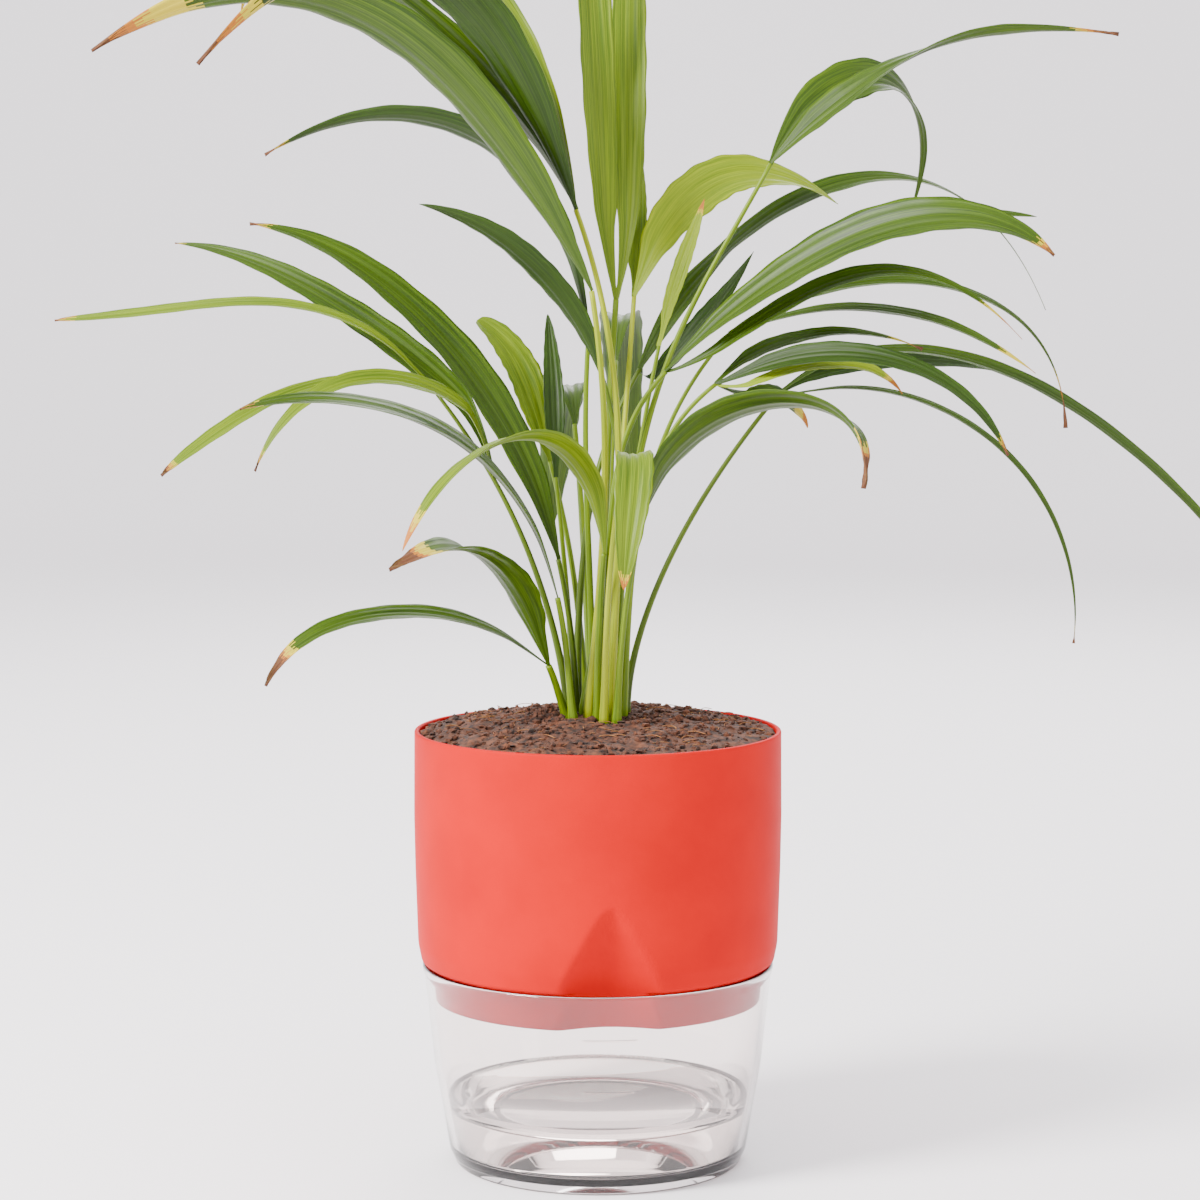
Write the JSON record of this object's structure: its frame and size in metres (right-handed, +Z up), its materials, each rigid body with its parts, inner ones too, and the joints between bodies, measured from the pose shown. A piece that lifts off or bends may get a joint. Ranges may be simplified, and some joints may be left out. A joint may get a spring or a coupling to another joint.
{
  "type": "potted areca palm",
  "caption": "Young potted palm with arching leaf blades on slim stems, in a small self-watering pot: a planter set in a clear water reservoir with a filling dent",
  "frame": {"origin": "centre of the reservoir's flat underside, on the surface that the pot stands on", "axes": "+Z up; the pot's front, with its filling dent, looks along -Y; +X is to the right seen from the front"},
  "size_m": [0.4085, 0.2249, 0.4542],
  "materials": {
    "planter": "matte",
    "reservoir": "gloss",
    "water": "gloss",
    "soil": "matte",
    "stem": "satin",
    "leaf": "satin"
  },
  "bodies": {
    "root": {"planter": "planter", "reservoir": "reservoir", "water": "water", "soil": "soil", "stem_big_a": "stem", "stem_big_b": "stem", "stem_left_top": "stem", "stem_young": "stem", "stem_broad": "stem", "stem_high_right": "stem", "stem_long_thin": "stem", "stem_right_mid": "stem", "stem_right_low": "stem", "stem_lone_right": "stem", "stem_brown_tip": "stem", "stem_front_arch": "stem", "stem_left_group": "stem", "stem_back_a": "stem", "stem_back_b": "stem", "big_frond_outer_low": "leaf", "big_frond_outer_tip": "leaf", "big_frond_second": "leaf", "big_frond_third_low": "leaf", "big_frond_third_tip": "leaf", "big_frond_inner": "leaf", "left_top_blade": "leaf", "upright_left": "leaf", "upright_right": "leaf", "young_blade": "leaf", "pale_blade": "leaf", "high_right_blade": "leaf", "high_right_hanging": "leaf", "long_thin_blade": "leaf", "broad_right": "leaf", "right_blade_a": "leaf", "right_blade_b": "leaf", "right_blade_c": "leaf", "right_blade_d": "leaf", "right_blade_e": "leaf", "right_blade_f": "leaf", "right_long_blade": "leaf", "right_thread": "leaf", "brown_tip_blade": "leaf", "front_fold_blade": "leaf", "dark_blade": "leaf", "left_long_blade": "leaf", "left_blade_a": "leaf", "left_blade_b": "leaf", "left_blade_c": "leaf", "left_thread": "leaf", "left_low_blade": "leaf", "front_arch_blade": "leaf", "fan_blade": "leaf", "fan_low_blade": "leaf", "round_blade": "leaf", "sliver_blade": "leaf", "back_blade_a": "leaf", "back_blade_b": "leaf"}
  },
  "joints": []
}
